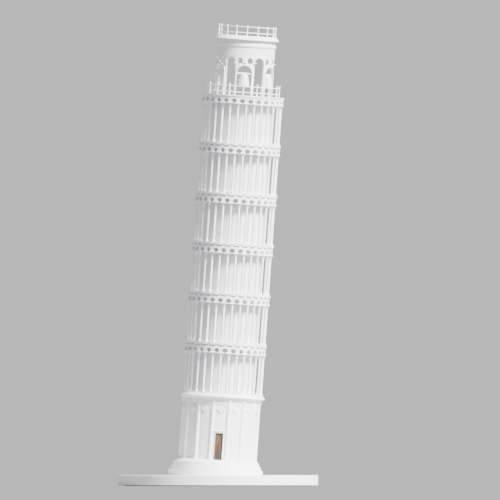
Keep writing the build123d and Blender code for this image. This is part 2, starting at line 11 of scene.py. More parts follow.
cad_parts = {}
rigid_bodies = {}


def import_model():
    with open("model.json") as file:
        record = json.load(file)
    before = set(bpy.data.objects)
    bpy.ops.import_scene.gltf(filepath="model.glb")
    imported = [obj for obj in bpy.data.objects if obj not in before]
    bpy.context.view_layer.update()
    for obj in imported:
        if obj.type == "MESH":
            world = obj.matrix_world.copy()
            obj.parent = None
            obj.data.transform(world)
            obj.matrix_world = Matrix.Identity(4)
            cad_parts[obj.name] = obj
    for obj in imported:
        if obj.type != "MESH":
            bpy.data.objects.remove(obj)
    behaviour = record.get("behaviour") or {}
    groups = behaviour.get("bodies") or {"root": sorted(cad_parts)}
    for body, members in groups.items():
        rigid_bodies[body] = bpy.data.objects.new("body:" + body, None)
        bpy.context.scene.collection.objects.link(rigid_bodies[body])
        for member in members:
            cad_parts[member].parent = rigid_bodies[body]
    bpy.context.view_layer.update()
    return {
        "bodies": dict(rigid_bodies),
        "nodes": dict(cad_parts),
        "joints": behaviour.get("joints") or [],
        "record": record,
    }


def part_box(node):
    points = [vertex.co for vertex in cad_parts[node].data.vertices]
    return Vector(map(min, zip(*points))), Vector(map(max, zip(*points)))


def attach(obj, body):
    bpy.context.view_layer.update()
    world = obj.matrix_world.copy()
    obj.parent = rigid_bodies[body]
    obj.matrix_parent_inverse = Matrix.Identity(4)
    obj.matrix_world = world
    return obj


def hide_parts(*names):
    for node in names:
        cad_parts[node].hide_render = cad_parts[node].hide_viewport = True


bl_info = {
    "name": "Leaning Tower Souvenir",
    "version": (1, 0, 0),
    "blender": (4, 5, 0),
    "location": "3D View > Sidebar > Tower",
    "description": "Finishes a leaning round tower souvenir piece by piece",
    "category": "Object",
}

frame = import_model()
BELLS = [name for name in frame["bodies"] if name.startswith("bell_")]
GALLERIES = [name for name in frame["nodes"] if name.startswith("gallery_") and name.endswith("_columns")]


# ---- places, read from the frame ----
def tower_frame():
    """The leaning tower's own frame: Z up its axis, with height 0 at the top of the base plate."""
    swing = next(joint for joint in frame["joints"] if joint["name"] == "bell_1_swing")
    across = -Vector(swing["axis"]).normalized()
    side = Vector((0, 1, 0))
    up = across.cross(side)
    low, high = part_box("gallery_1_drum")
    middle = (low + high) / 2
    foot = middle - up * ((middle.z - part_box("base_plate")[1].z) / up.z)
    return Matrix.Translation(foot) @ Matrix((across, side, up)).transposed().to_4x4()


TOWER = tower_frame()
LEAN = TOWER.to_euler().y


def measure(node):
    """Lowest and highest level, then inner and outer radius, of a node about the tower's axis."""
    back = TOWER.inverted()
    points = [back @ vertex.co for vertex in frame["nodes"][node].data.vertices]
    levels = [point.z for point in points]
    radii = [point.xy.length for point in points]
    return min(levels), max(levels), min(radii), max(radii)


# ---- mesh helpers ----
def soften(outline, size, steps=2):
    """An open outline of (radius, level) points with each inner corner rounded."""
    points = [Vector(point) for point in outline]
    made = [points[0]]
    for before, corner, after in zip(points, points[1:], points[2:]):
        back, ahead = before - corner, after - corner
        reach = min(size, back.length * 0.45, ahead.length * 0.45)
        start = corner + back.normalized() * reach
        end = corner + ahead.normalized() * reach
        for step in range(steps + 1):
            t = step / steps
            made.append(start * (1 - t) ** 2 + corner * 2 * t * (1 - t) + end * t ** 2)
    return made + [points[-1]]


def lathe(name, outline, segments, closed=False):
    """A mesh turned about Z from (radius, level) points; a closed outline makes a ring."""
    shape = bmesh.new()
    rows = []
    for radius, level in outline:
        if radius < 1e-7:
            rows.append([shape.verts.new((0, 0, level))] * segments)
        else:
            turn = [2 * pi * number / segments for number in range(segments)]
            rows.append([shape.verts.new((radius * cos(t), radius * sin(t), level)) for t in turn])
    pairs = list(zip(rows, rows[1:])) + ([(rows[-1], rows[0])] if closed else [])
    for lower, upper in pairs:
        for number in range(segments):
            after = (number + 1) % segments
            corners = [lower[number], lower[after], upper[after], upper[number]]
            corners = [v for place, v in enumerate(corners) if v not in corners[:place]]
            if len(corners) > 2:
                shape.faces.new(corners)
    return finished_mesh(name, shape)


def finished_mesh(name, shape):
    """Closes up a bmesh, turns its faces outwards and shades it smooth between creases."""
    bmesh.ops.remove_doubles(shape, verts=shape.verts, dist=1e-7)
    bmesh.ops.recalc_face_normals(shape, faces=shape.faces)
    mesh = bpy.data.meshes.new(name)
    shape.to_mesh(mesh)
    shape.free()
    mesh.shade_smooth()
    mesh.set_sharp_from_angle(angle=CREASE)
    return mesh


def add_block(shape, size, place, bevel):
    """Adds a bevelled block to a bmesh: its size, its middle and its edge bevel."""
    matrix = Matrix.Translation(place) @ Matrix.Diagonal((*size, 1))
    made = bmesh.ops.create_cube(shape, size=1, matrix=matrix)
    edges = list({edge for vertex in made["verts"] for edge in vertex.link_edges})
    bmesh.ops.bevel(shape, geom=edges, offset=bevel, segments=2, profile=0.6, affect="EDGES")


def put(name, mesh, body, slot, *stands_for):
    """Makes a finished piece at the origin, with its body, its slot and the nodes that it stands for."""
    piece = bpy.data.objects.new(name, mesh)
    bpy.context.scene.collection.objects.link(piece)
    if not mesh.materials:
        mesh.materials.append(finish(slot))
    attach(piece, body)
    if stands_for:
        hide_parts(*stands_for)
    return piece


# ---- geometry node trees ----
def new_tree(name, inputs):
    """A geometry node tree with a geometry in and out, and named inputs of the given socket kinds."""
    tree = bpy.data.node_groups.new(name, "GeometryNodeTree")
    tree.interface.new_socket("Geometry", in_out="INPUT", socket_type="NodeSocketGeometry")
    for label, kind in inputs:
        tree.interface.new_socket(label, in_out="INPUT", socket_type=kind)
    tree.interface.new_socket("Geometry", in_out="OUTPUT", socket_type="NodeSocketGeometry")
    return tree, tree.nodes.new("NodeGroupInput"), tree.nodes.new("NodeGroupOutput")


def wire(tree, *pairs):
    """Links each (from socket, to socket) pair."""
    for start, end in pairs:
        tree.links.new(start, end)


def round_rotation(tree, given):
    """Nodes that turn each copy by its share of a full turn, starting at the first angle."""
    index = tree.nodes.new("GeometryNodeInputIndex")
    step = tree.nodes.new("ShaderNodeMath")
    step.operation = "DIVIDE"
    step.inputs[0].default_value = 2 * pi
    turn = tree.nodes.new("ShaderNodeMath")
    turn.operation = "MULTIPLY_ADD"
    rotation = tree.nodes.new("ShaderNodeCombineXYZ")
    wire(tree, (given.outputs["Count"], step.inputs[1]), (index.outputs[0], turn.inputs[0]),
         (step.outputs[0], turn.inputs[1]), (given.outputs["First Angle"], turn.inputs[2]),
         (turn.outputs[0], rotation.inputs["Z"]))
    return rotation.outputs[0]


def close_tree(tree, given, result, geometry):
    """Ends a tree in Realize Instances and Set Material."""
    realize = tree.nodes.new("GeometryNodeRealizeInstances")
    paint = tree.nodes.new("GeometryNodeSetMaterial")
    wire(tree, (geometry, realize.inputs[0]), (realize.outputs[0], paint.inputs["Geometry"]),
         (given.outputs["Material"], paint.inputs["Material"]), (paint.outputs[0], result.inputs[0]))


def ring_tree():
    """Copies of one piece, turned evenly about Z."""
    if "ring_of_copies" in bpy.data.node_groups:
        return bpy.data.node_groups["ring_of_copies"]
    tree, given, result = new_tree("ring_of_copies", [
        ("Count", "NodeSocketInt"), ("First Angle", "NodeSocketFloat"), ("Material", "NodeSocketMaterial")])
    points = tree.nodes.new("GeometryNodePoints")
    copies = tree.nodes.new("GeometryNodeInstanceOnPoints")
    wire(tree, (given.outputs["Count"], points.inputs["Count"]),
         (points.outputs[0], copies.inputs["Points"]), (given.outputs["Geometry"], copies.inputs["Instance"]),
         (round_rotation(tree, given), copies.inputs["Rotation"]))
    close_tree(tree, given, result, copies.outputs[0])
    return tree


def railing_tree():
    """Turned posts in a ring, with two rows of rails running from post to post."""
    if "ring_railing" in bpy.data.node_groups:
        return bpy.data.node_groups["ring_railing"]
    tree, given, result = new_tree("ring_railing", [
        ("Count", "NodeSocketInt"), ("First Angle", "NodeSocketFloat"), ("Radius", "NodeSocketFloat"),
        ("Rail Radius", "NodeSocketFloat"), ("Lower Rail", "NodeSocketFloat"),
        ("Upper Rail", "NodeSocketFloat"), ("Material", "NodeSocketMaterial")])
    points = tree.nodes.new("GeometryNodePoints")
    copies = tree.nodes.new("GeometryNodeInstanceOnPoints")
    join = tree.nodes.new("GeometryNodeJoinGeometry")
    loop = tree.nodes.new("GeometryNodeMeshCircle")
    path = tree.nodes.new("GeometryNodeMeshToCurve")
    section = tree.nodes.new("GeometryNodeCurvePrimitiveCircle")
    section.inputs["Resolution"].default_value = 10
    wire(tree, (given.outputs["Count"], points.inputs["Count"]),
         (points.outputs[0], copies.inputs["Points"]), (given.outputs["Geometry"], copies.inputs["Instance"]),
         (round_rotation(tree, given), copies.inputs["Rotation"]),
         (given.outputs["Count"], loop.inputs["Vertices"]), (given.outputs["Radius"], loop.inputs["Radius"]),
         (loop.outputs[0], path.inputs[0]), (given.outputs["Rail Radius"], section.inputs["Radius"]),
         (copies.outputs[0], join.inputs[0]))
    for level in ("Lower Rail", "Upper Rail"):
        rise = tree.nodes.new("ShaderNodeCombineXYZ")
        lift = tree.nodes.new("GeometryNodeSetPosition")
        bar = tree.nodes.new("GeometryNodeCurveToMesh")
        wire(tree, (given.outputs[level], rise.inputs["Z"]), (rise.outputs[0], lift.inputs["Offset"]),
             (path.outputs[0], lift.inputs["Geometry"]), (lift.outputs[0], bar.inputs["Curve"]),
             (section.outputs[0], bar.inputs["Profile Curve"]), (bar.outputs[0], join.inputs[0]))
    close_tree(tree, given, result, join.outputs[0])
    return tree


def grown(name, seed, tree, values, place=TOWER):
    """The plain mesh that a tree makes from a seed mesh and named values, put in its place."""
    maker = bpy.data.objects.new(name + "_maker", seed)
    bpy.context.scene.collection.objects.link(maker)
    modifier = maker.modifiers.new("tree", "NODES")
    modifier.node_group = tree
    for item in tree.interface.items_tree:
        if item.in_out == "INPUT" and item.name in values:
            modifier[item.identifier] = values[item.name]
    graph = bpy.context.evaluated_depsgraph_get()
    mesh = bpy.data.meshes.new_from_object(maker.evaluated_get(graph), depsgraph=graph)
    mesh.name = name
    bpy.data.objects.remove(maker)
    mesh.transform(place)
    mesh.shade_smooth()
    mesh.set_sharp_from_angle(angle=CREASE)
    return mesh


# ---- shader node groups ----
def shader_group(name, inputs, outputs):
    """A shader node group with (label, kind, default) inputs and (label, kind) outputs."""
    tree = bpy.data.node_groups.new(name, "ShaderNodeTree")
    for label, kind, value in inputs:
        socket = tree.interface.new_socket(label, in_out="INPUT", socket_type=kind)
        if value is not None:
            socket.default_value = value
    for label, kind in outputs:
        tree.interface.new_socket(label, in_out="OUTPUT", socket_type=kind)
    return tree, tree.nodes.new("NodeGroupInput"), tree.nodes.new("NodeGroupOutput")


def noise(tree, vector, scale, detail=3.0, roughness=0.5):
    """A noise texture's value on a vector; the scale is a number or a socket."""
    node = tree.nodes.new("ShaderNodeTexNoise")
    node.inputs["Detail"].default_value = detail
    node.inputs["Roughness"].default_value = roughness
    tree.links.new(vector, node.inputs["Vector"])
    if isinstance(scale, float):
        node.inputs["Scale"].default_value = scale
    else:
        tree.links.new(scale, node.inputs["Scale"])
    return node.outputs[0]


def calc(tree, operation, first, second, third=None):
    """A math node on numbers or sockets."""
    node = tree.nodes.new("ShaderNodeMath")
    node.operation = operation
    for place, value in enumerate((first, second, third)):
        if value is None:
            continue
        if isinstance(value, (int, float)):
            node.inputs[place].default_value = value
        else:
            tree.links.new(value, node.inputs[place])
    return node.outputs[0]


def blend_colour(tree, amount, first, second):
    """Mixes two colours, given as tuples or sockets, by an amount."""
    node = tree.nodes.new("ShaderNodeMix")
    node.data_type = "RGBA"
    for place, value in ((0, amount), (6, first), (7, second)):
        if isinstance(value, (int, float, tuple)):
            node.inputs[place].default_value = value
        else:
            tree.links.new(value, node.inputs[place])
    return node.outputs[2]


def spread_value(tree, value, low, high, to_low=0.0, to_high=1.0):
    """Maps a value's range smoothly to another, held at its ends."""
    node = tree.nodes.new("ShaderNodeMapRange")
    node.interpolation_type = "SMOOTHSTEP"
    for label, number in (("From Min", low), ("From Max", high), ("To Min", to_low), ("To Max", to_high)):
        node.inputs[label].default_value = number
    tree.links.new(value, node.inputs["Value"])
    return node.outputs[0]


def cast_skin_group():
    """Cast resin: cloudy mottle, pits, fine grain and faint level print lines."""
    if "cast_skin" in bpy.data.node_groups:
        return bpy.data.node_groups["cast_skin"]
    tree, given, result = shader_group("cast_skin", [
        ("Vector", "NodeSocketVector", None), ("Light Colour", "NodeSocketColor", (0.8, 0.8, 0.8, 1)),
        ("Deep Colour", "NodeSocketColor", (0.7, 0.7, 0.7, 1)), ("Cloud Scale", "NodeSocketFloat", 60.0),
        ("Grain Scale", "NodeSocketFloat", 2200.0), ("Line Pitch", "NodeSocketFloat", 0.0006),
        ("Line Depth", "NodeSocketFloat", 0.2)],
        [("Colour", "NodeSocketColor"), ("Roughness", "NodeSocketFloat"), ("Height", "NodeSocketFloat")])
    vector = given.outputs["Vector"]
    cloud = noise(tree, vector, given.outputs["Cloud Scale"], 4.0, 0.6)
    grain = noise(tree, vector, given.outputs["Grain Scale"], 2.0)
    streak_scale = tree.nodes.new("ShaderNodeVectorMath")
    streak_scale.operation = "MULTIPLY"
    streak_scale.inputs[1].default_value = (1.0, 1.0, 0.12)
    tree.links.new(vector, streak_scale.inputs[0])
    streak = noise(tree, streak_scale.outputs[0], 420.0, 2.0)
    tone = calc(tree, "ADD", calc(tree, "MULTIPLY", cloud, 0.65), calc(tree, "MULTIPLY", streak, 0.35))
    colour = blend_colour(tree, spread_value(tree, tone, 0.36, 0.66), given.outputs["Deep Colour"],
                          given.outputs["Light Colour"])
    pit = spread_value(tree, noise(tree, vector, 900.0, 1.0), 0.66, 0.76)
    part = tree.nodes.new("ShaderNodeSeparateXYZ")
    tree.links.new(vector, part.inputs[0])
    phase = calc(tree, "DIVIDE", part.outputs["Z"], given.outputs["Line Pitch"])
    line = calc(tree, "PINGPONG", phase, 1.0)
    height = calc(tree, "MULTIPLY_ADD", line, given.outputs["Line Depth"], grain)
    height = calc(tree, "SUBTRACT", height, calc(tree, "MULTIPLY", pit, 0.8))
    rough = calc(tree, "MULTIPLY_ADD", grain, 0.16, calc(tree, "MULTIPLY_ADD", cloud, 0.14, 0.44))
    wire(tree, (colour, result.inputs["Colour"]), (rough, result.inputs["Roughness"]),
         (height, result.inputs["Height"]))
    return tree


def ledge_dust_group():
    """Dust that has settled on faces that look up, patchy rather than even."""
    if "ledge_dust" in bpy.data.node_groups:
        return bpy.data.node_groups["ledge_dust"]
    tree, given, result = shader_group("ledge_dust", [
        ("Vector", "NodeSocketVector", None), ("Colour", "NodeSocketColor", (0.8, 0.8, 0.8, 1)),
        ("Dust Colour", "NodeSocketColor", (0.6, 0.57, 0.52, 1)), ("Amount", "NodeSocketFloat", 0.3)],
        [("Colour", "NodeSocketColor"), ("Mask", "NodeSocketFloat")])
    normal = tree.nodes.new("ShaderNodeNewGeometry")
    part = tree.nodes.new("ShaderNodeSeparateXYZ")
    tree.links.new(normal.outputs["Normal"], part.inputs[0])
    facing = spread_value(tree, part.outputs["Z"], 0.55, 0.98)
    patch = spread_value(tree, noise(tree, given.outputs["Vector"], 260.0, 4.0, 0.65), 0.35, 0.72, 0.25, 1.0)
    mask = calc(tree, "MULTIPLY", calc(tree, "MULTIPLY", facing, patch), given.outputs["Amount"])
    colour = blend_colour(tree, mask, given.outputs["Colour"], given.outputs["Dust Colour"])
    wire(tree, (colour, result.inputs["Colour"]), (mask, result.inputs["Mask"]))
    return tree


def place_group(tree, group):
    """Places a shader node group in a material."""
    node = tree.nodes.new("ShaderNodeGroup")
    node.node_tree = group
    return node


def new_material(slot):
    """A node material with its Principled shader and an Object-coordinate mapping level with the tower."""
    material = bpy.data.materials.new(f"{slot}_finish")
    material.use_nodes = True
    tree = material.node_tree
    shader = tree.nodes["Principled BSDF"]
    coordinate = tree.nodes.new("ShaderNodeTexCoord")
    level = tree.nodes.new("ShaderNodeMapping")
    level.inputs["Rotation"].default_value = (0, -LEAN, 0)
    tree.links.new(coordinate.outputs["Object"], level.inputs["Vector"])
    return material, tree, shader, level.outputs[0]


def bump(tree, shader, height, distance):
    """Feeds a height to the shader's normal; the distance is in metres."""
    node = tree.nodes.new("ShaderNodeBump")
    node.inputs["Distance"].default_value = distance
    node.inputs["Strength"].default_value = 1.0
    tree.links.new(height, node.inputs["Height"])
    tree.links.new(node.outputs[0], shader.inputs["Normal"])


# ---- materials ----
def resin_finish(slot):
    """One slot's white resin, from its row of RESINS."""
    tint, gloss, grain, dust, line_depth, cloud = RESINS[slot]
    settings = bpy.context.scene.tower_resin
    material, tree, shader, vector = new_material(slot)
    light = [channel * tint for channel in settings.colour]
    deep = [channel * settings.depth for channel in light]
    skin = place_group(tree, cast_skin_group())
    skin.inputs["Light Colour"].default_value = (*light, 1)
    skin.inputs["Deep Colour"].default_value = (*deep, 1)
    skin.inputs["Cloud Scale"].default_value = cloud
    skin.inputs["Grain Scale"].default_value = 1 / settings.grain
    skin.inputs["Line Pitch"].default_value = settings.line_pitch
    skin.inputs["Line Depth"].default_value = line_depth
    settled = place_group(tree, ledge_dust_group())
    settled.inputs["Amount"].default_value = dust
    settled.inputs["Dust Colour"].default_value = (*settings.dust_colour, 1)
    wire(tree, (vector, skin.inputs["Vector"]), (vector, settled.inputs["Vector"]),
         (skin.outputs["Colour"], settled.inputs["Colour"]),
         (settled.outputs["Colour"], shader.inputs["Base Color"]))
    rough = calc(tree, "MULTIPLY_ADD", settled.outputs["Mask"], 0.3, skin.outputs["Roughness"])
    wire(tree, (calc(tree, "ADD", rough, settings.roughness - 0.55 - gloss), shader.inputs["Roughness"]))
    shader.inputs["Specular IOR Level"].default_value = 0.42
    bump(tree, shader, skin.outputs["Height"], grain)
    return material


def oiled_wood():
    """Dark brown door wood: long grain up the planks, with open pores."""
    settings = bpy.context.scene.tower_door
    material, tree, shader, vector = new_material("brown_wood")
    stretch = tree.nodes.new("ShaderNodeMapping")
    stretch.inputs["Scale"].default_value = (1.0, 1.0, 0.08)
    tree.links.new(vector, stretch.inputs["Vector"])
    grain = noise(tree, stretch.outputs[0], 1600.0, 6.0, 0.6)
    figure = noise(tree, stretch.outputs[0], 420.0, 3.0)
    pore = spread_value(tree, noise(tree, stretch.outputs[0], 5200.0, 2.0), 0.56, 0.66)
    tone = calc(tree, "ADD", calc(tree, "MULTIPLY", grain, 0.6), calc(tree, "MULTIPLY", figure, 0.4))
    colour = blend_colour(tree, spread_value(tree, tone, 0.35, 0.66), (*settings.dark_wood, 1),
                          (*settings.light_wood, 1))
    darker = blend_colour(tree, calc(tree, "MULTIPLY", pore, 0.55), colour, (*settings.pore_colour, 1))
    wire(tree, (darker, shader.inputs["Base Color"]),
         (spread_value(tree, grain, 0.3, 0.7, 0.42, 0.62), shader.inputs["Roughness"]))
    bump(tree, shader, calc(tree, "SUBTRACT", grain, pore), 0.00012)
    return material


def drawn_steel():
    """Steel drawn along the tower: fine lengthwise scratches and a little stain."""
    material, tree, shader, vector = new_material("bright_steel")
    stretch = tree.nodes.new("ShaderNodeMapping")
    stretch.inputs["Scale"].default_value = (1.0, 1.0, 0.03)
    tree.links.new(vector, stretch.inputs["Vector"])
    scratch = noise(tree, stretch.outputs[0], 4200.0, 4.0, 0.7)
    stain = noise(tree, vector, 140.0, 4.0)
    colour = blend_colour(tree, spread_value(tree, stain, 0.42, 0.7), (0.64, 0.64, 0.65, 1),
                          (0.50, 0.49, 0.48, 1))
    wire(tree, (colour, shader.inputs["Base Color"]),
         (spread_value(tree, scratch, 0.3, 0.7, 0.22, 0.42), shader.inputs["Roughness"]))
    shader.inputs["Metallic"].default_value = 1.0
    bump(tree, shader, scratch, 0.00002)
    return material


def pressed_felt():
    """Grey felt: matted fibres, lighter fluff and a soft sheen."""
    material, tree, shader, vector = new_material("grey_felt")
    warp = tree.nodes.new("ShaderNodeVectorMath")
    warp.operation = "MULTIPLY_ADD"
    warp.inputs[1].default_value = (0.002, 0.002, 0.002)
    drift = tree.nodes.new("ShaderNodeTexNoise")
    drift.inputs["Scale"].default_value = 700.0
    wire(tree, (vector, drift.inputs["Vector"]), (drift.outputs["Color"], warp.inputs[0]),
         (vector, warp.inputs[2]))
    fibre = noise(tree, warp.outputs[0], 3200.0, 5.0, 0.7)
    patch = noise(tree, vector, 110.0, 3.0)
    tone = calc(tree, "ADD", calc(tree, "MULTIPLY", fibre, 0.7), calc(tree, "MULTIPLY", patch, 0.3))
    colour = blend_colour(tree, spread_value(tree, tone, 0.34, 0.68), (0.09, 0.09, 0.095, 1),
                          (0.24, 0.24, 0.25, 1))
    wire(tree, (colour, shader.inputs["Base Color"]))
    shader.inputs["Roughness"].default_value = 0.95
    shader.inputs["Sheen Weight"].default_value = 0.35
    shader.inputs["Sheen Roughness"].default_value = 0.5
    bump(tree, shader, fibre, 0.0002)
    return material


# Each resin slot's tint, gloss, grain depth in metres, dust, print line depth and cloud scale
RESINS = {
    "white_base": (1.02, 0.03, 0.00006, 0.30, 0.05, 40.0),
    "white_wall": (0.97, 0.0, 0.00010, 0.25, 0.35, 70.0),
    "white_column": (1.02, 0.02, 0.00006, 0.20, 0.2, 110.0),
    "white_cornice": (1.0, 0.02, 0.00008, 0.40, 0.2, 80.0),
    "white_trim": (1.01, 0.01, 0.00006, 0.30, 0.2, 130.0),
    "white_rail": (1.03, 0.10, 0.00003, 0.15, 0.1, 130.0),
    "white_bell": (0.98, 0.12, 0.00004, 0.35, 0.3, 160.0),
}
OTHER_FINISHES = {"brown_wood": oiled_wood, "bright_steel": drawn_steel, "grey_felt": pressed_felt}


def finish(slot):
    """The material of a slot, made when it is first asked for."""
    made = bpy.data.materials.get(f"{slot}_finish")
    if made:
        return made
    return resin_finish(slot) if slot in RESINS else OTHER_FINISHES[slot]()


# ---- outlines ----
# A bell from its crown to its mouth, with two raised bands: shares of the mouth's radius and of the drop
BELL_DOME = ((0.16, -0.068), (0.38, 0.0), (0.56, 0.10), (0.68, 0.20), (0.765, 0.30), (0.80, 0.315),
             (0.80, 0.345), (0.795, 0.37), (0.86, 0.48), (0.92, 0.62), (0.94, 0.74), (0.975, 0.755),
             (0.975, 0.79), (0.95, 0.81), (0.96, 0.90), (1.0, 0.955), (1.0, 1.0))
CREASE = radians(35)           # faces that meet at less than this are shaded as one
ROD_HOLE = 0.0017              # radius of the tie rod's hole through the ground cornice
CORNICE_LEDGE = 0.00035        # how far the ground cornice's top stands outside the column feet
CAP_LEDGE = 0.0005             # how far the top slab's top stands outside the railing's posts
PLANK_BEVEL = 0.00013
HEADSTOCK_BEVEL = 0.00018
FLOOR_RADIUS = 3.0
CAMERA_PLACE = (0.024, -1.5, 0.177)


# ---- settings ----
class ResinSettings(PropertyGroup):
    colour: FloatVectorProperty(name="Colour", description="Colour of the white resin", subtype="COLOR",
                                size=3, min=0, max=1, default=(0.86, 0.845, 0.88))
    depth: FloatProperty(name="Mottle", description="How light the resin's darker clouds are",
                         subtype="FACTOR", min=0.5, max=1, default=0.93)
    roughness: FloatProperty(name="Roughness", description="Average roughness of the resin", subtype="FACTOR",
                             min=0.3, max=0.9, default=0.60)
    grain: FloatProperty(name="Grain size", description="Size of the resin's grain", unit="LENGTH",
                         min=0.0001, max=0.005, default=0.00045)
    line_pitch: FloatProperty(name="Line pitch", description="Distance between the faint level lines",
                              unit="LENGTH", min=0.0001, max=0.005, default=0.0004)
    dust_colour: FloatVectorProperty(name="Dust", description="Colour of the dust on the ledges",
                                     subtype="COLOR", size=3, min=0, max=1, default=(0.60, 0.575, 0.54))


class ColumnSettings(PropertyGroup):
    shaft: FloatProperty(name="Shaft radius", description="Radius of a gallery column's shaft", unit="LENGTH",
                         min=0.0003, max=0.002, default=0.0008)
    count: IntProperty(name="Columns", description="Columns in each gallery", min=6, max=60, default=30)
    sides: IntProperty(name="Sides", description="Faces round each column", min=6, max=32, default=12)
    half_shaft: FloatProperty(name="Half column radius", description="Radius of a ground half column's shaft",
                              unit="LENGTH", min=0.0005, max=0.004, default=0.0017)
    half_count: IntProperty(name="Half columns", description="Half columns round the ground storey",
                            min=6, max=40, default=15)


class RailingSettings(PropertyGroup):
    post: FloatProperty(name="Post radius", description="Radius of a railing post", unit="LENGTH",
                        min=0.0002, max=0.002, default=0.00048)
    ball: FloatProperty(name="Ball radius", description="Radius of a post's ball top", unit="LENGTH",
                        min=0.0002, max=0.002, default=0.00064)
    rail: FloatProperty(name="Rail radius", description="Radius of a rail", unit="LENGTH",
                        min=0.0001, max=0.001, default=0.00034)
    lower: FloatProperty(name="Lower rail", description="Height of the lower rail above the floor",
                         unit="LENGTH", min=0.0005, max=0.01, default=0.0023)
    upper: FloatProperty(name="Upper rail", description="Height of the upper rail above the floor",
                         unit="LENGTH", min=0.001, max=0.02, default=0.0067)
    posts: IntProperty(name="Posts", description="Posts in each railing", min=6, max=40, default=16)


class DoorSettings(PropertyGroup):
    planks: IntProperty(name="Planks", description="Upright planks in the door leaf", min=1, max=8, default=4)
    gap: FloatProperty(name="Gap", description="Width of the groove between two planks", unit="LENGTH",
                       min=0, max=0.001, default=0.00012)
    light_wood: FloatVectorProperty(name="Light wood", description="Light tone of the wood", subtype="COLOR",
                                    size=3, min=0, max=1, default=(0.105, 0.060, 0.024))
    dark_wood: FloatVectorProperty(name="Dark wood", description="Dark tone of the wood", subtype="COLOR",
                                   size=3, min=0, max=1, default=(0.045, 0.023, 0.009))
    pore_colour: FloatVectorProperty(name="Pores", description="Colour of the wood's pores", subtype="COLOR",
                                     size=3, min=0, max=1, default=(0.016, 0.009, 0.004))


class StageSettings(PropertyGroup):
    key: FloatProperty(name="Key light", description="Strength of the large light on the right",
                       min=0, max=60, default=23.0)
    key_softness: FloatProperty(name="Key softness", description="Angle that the key light spans",
                                subtype="ANGLE", min=0, max=1, default=radians(22))
    key_turn: FloatProperty(name="Key turn", description="How far the key light stands round to the right",
                            subtype="ANGLE", min=-pi, max=pi, default=radians(51))
    key_rise: FloatProperty(name="Key rise", description="How high the key light stands", subtype="ANGLE",
                            min=0, max=pi / 2, default=radians(40))
    view_width: FloatProperty(name="View width", description="Width that the camera sees", unit="LENGTH",
                              min=0.05, max=2, default=0.375)
    fill: FloatProperty(name="Fill", description="Brightness of the light from all round", min=0, max=4,
                        default=0.78)
    backdrop: FloatProperty(name="Backdrop", description="Brightness of the plain backdrop", min=0, max=4,
                            default=0.70)
    floor_colour: FloatVectorProperty(name="Floor", description="Colour of the plain floor", subtype="COLOR",
                                      size=3, min=0, max=1, default=(0.16, 0.16, 0.16))


# ---- operators, one for each piece or group of like pieces ----
class TOWER_OT_castings(Operator):
    """Finish the plain castings, trim, felt and steel that keep the frame's own shapes"""
    bl_idname = "tower.castings"
    bl_label = "Finish the castings"

    def execute(self, context):
        for part in frame["record"]["subparts"]:
            mesh = frame["nodes"][part["node"]].data
            mesh.materials.clear()
            mesh.materials.append(finish(part["material_slot"]))
        return {"FINISHED"}


class TOWER_OT_gallery_columns(Operator):
    """Turn the thin columns of every gallery, with moulded feet and capitals"""
    bl_idname = "tower.gallery_columns"
    bl_label = "Gallery columns"

    def execute(self, context):
        settings = context.scene.tower_columns
        for node in GALLERIES:
            low, high, inner, outer = measure(node)
            ring, foot, shaft = (inner + outer) / 2, (outer - inner) / 2, settings.shaft
            span = high - low
            outline = [(0, low), (foot, low), (foot, low + 0.028 * span), (foot * 0.80, low + 0.034 * span),
                       (foot * 0.86, low + 0.046 * span), (shaft * 1.02, low + 0.064 * span),
                       (shaft * 1.05, low + 0.45 * span), (shaft * 0.97, high - 0.085 * span),
                       (shaft * 1.25, high - 0.075 * span), (shaft, high - 0.065 * span),
                       (foot * 0.86, high - 0.025 * span), (foot, high - 0.016 * span), (foot, high),
                       (0, high)]
            column = lathe("column", outline, settings.sides)
            column.transform(Matrix.Translation((0, -ring, 0)))
            mesh = grown(node + "_turned", column, ring_tree(), {
                "Count": settings.count, "First Angle": pi / settings.count,
                "Material": finish("white_column")})
            put(node + "_turned", mesh, "tower", "white_column", node)
        return {"FINISHED"}


class TOWER_OT_half_columns(Operator):
    """Turn the engaged half columns of the ground storey"""
    bl_idname = "tower.half_columns"
    bl_label = "Half columns"

    def execute(self, context):
        settings = context.scene.tower_columns
        low, high, _, outer = measure("ground_half_columns")
        shaft = settings.half_shaft
        wide = shaft * 1.26
        reach = outer - wide
        span = high - low
        outline = [(0, low), (wide, low), (wide, low + 0.014 * span), (wide * 0.92, low + 0.018 * span),
                   (wide * 0.92, low + 0.026 * span), (shaft, low + 0.038 * span),
                   (shaft * 1.03, low + 0.4 * span),
                   (shaft * 0.97, high - 0.075 * span), (shaft * 1.12, high - 0.068 * span),
                   (shaft * 0.98, high - 0.060 * span), (wide * 0.93, high - 0.026 * span),
                   (wide, high - 0.022 * span), (wide, high), (0, high)]
        column = lathe("half_column", soften(outline, 0.00012, 2), 20)
        column.transform(Matrix.Translation((0, -reach, 0)))
        mesh = grown("ground_half_columns_turned", column, ring_tree(), {
            "Count": settings.half_count, "First Angle": pi / settings.half_count,
            "Material": finish("white_column")})
        put("ground_half_columns_turned", mesh, "tower", "white_column", "ground_half_columns")
        return {"FINISHED"}


